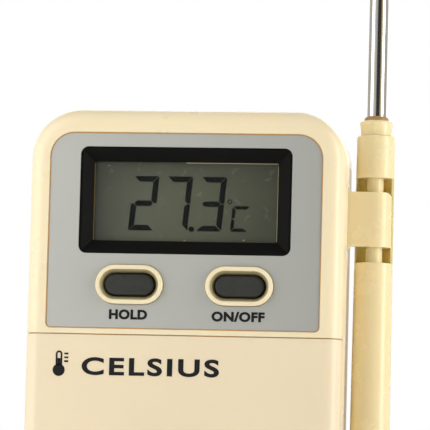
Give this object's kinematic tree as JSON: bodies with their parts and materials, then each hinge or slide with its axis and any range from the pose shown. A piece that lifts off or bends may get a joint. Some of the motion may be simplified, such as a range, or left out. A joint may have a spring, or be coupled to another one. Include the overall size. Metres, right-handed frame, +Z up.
{
  "type": "food thermometer",
  "caption": "Handheld digital food thermometer, cream case with display and keys, penetration probe clipped to its right side",
  "frame": {"origin": "middle of the case's flat bottom face, midway between its front and back", "axes": "+Z up the case's long axis and along the needle, -Y out of the display, +X to the right of the display"},
  "size_m": [0.0669, 0.0195, 0.22],
  "materials": {
    "case_cream": "smooth satin moulded plastic, cream",
    "cover_cream": "smooth satin moulded plastic, cream, slightly pinker",
    "panel_grey": "printed matt grey front panel",
    "plate_silver": "blank silver rating plate",
    "bezel_black": "matt black frame",
    "lens_clear": "clear display lens",
    "lcd_glass": "olive grey display with a polarising film",
    "lcd_inner": "rear display glass",
    "reflector_foil": "display reflector",
    "holder_white": "white moulded display holder",
    "zebra_rubber": "conductive rubber strip",
    "board_green": "green circuit board",
    "chip_black": "chip package",
    "resistor_black": "chip resistors",
    "capacitor_tan": "chip capacitors",
    "crystal_can": "crystal can",
    "trimmer_blue": "blue trimmer",
    "screw_steel": "zinc-plated screws",
    "key_rubber": "dark grey rubber key",
    "dome_silicone": "grey silicone dome",
    "cell_jacket": "plain battery jacket",
    "contact_nickel": "nickel-plated contacts",
    "grommet_rubber": "black rubber grommet",
    "plug_white": "board connector",
    "lead_black": "lead inside the case",
    "handle_cream": "smooth satin moulded plastic, cream",
    "seal_tan": "tan sealing bead",
    "needle_steel": "polished stainless steel",
    "sensor_red": "sensor bead",
    "wire_red": "sensor wires"
  },
  "bodies": {
    "case": {"front_shell": "case_cream", "rear_shell": "case_cream", "probe_clip": "handle_cream", "face_panel": "panel_grey", "rating_plate": "plate_silver", "display_bezel": "bezel_black", "display_lens": "lens_clear", "lcd_front_glass": "lcd_glass", "lcd_rear_glass": "lcd_inner", "lcd_reflector": "reflector_foil", "lcd_holder": "holder_white", "zebra_strips": "zebra_rubber", "circuit_board": "board_green", "controller_chip": "chip_black", "amplifier_chip": "chip_black", "chip_resistors": "resistor_black", "chip_capacitors": "capacitor_tan", "crystal": "crystal_can", "trimmer": "trimmer_blue", "board_screws": "screw_steel", "case_screws": "screw_steel", "hold_dome": "dome_silicone", "power_dome": "dome_silicone", "battery_left": "cell_jacket", "battery_right": "cell_jacket", "battery_contact": "contact_nickel", "battery_springs": "contact_nickel", "lead_grommet": "grommet_rubber", "lead_plug": "plug_white", "inner_lead": "lead_black"},
    "cover": {"battery_cover": "cover_cream"},
    "hold_key": {"hold_button": "key_rubber"},
    "power_key": {"power_button": "key_rubber"},
    "probe": {"handle_shell": "handle_cream", "handle_core": "handle_cream", "handle_nose": "handle_cream", "needle_seal": "seal_tan", "needle_tube": "needle_steel", "needle_tip": "needle_steel", "thermistor": "sensor_red", "sensor_wires": "wire_red", "handle_end_cap": "handle_cream"}
  },
  "joints": [
    {"name": "cover_slide", "type": "slide", "parent": "case", "child": "cover", "axis": [0, 0, -1], "range_m": [0, 0.008]},
    {"name": "hold_press", "type": "slide", "parent": "case", "child": "hold_key", "axis": [0, 1, 0], "range_m": [0, 0.001], "stiffness_N_per_m": 800},
    {"name": "power_press", "type": "slide", "parent": "case", "child": "power_key", "axis": [0, 1, 0], "range_m": [0, 0.001], "stiffness_N_per_m": 800},
    {"name": "probe_release", "type": "slide", "parent": "case", "child": "probe", "axis": [0, 1, 0], "range_m": [0, 0.015]}
  ]
}
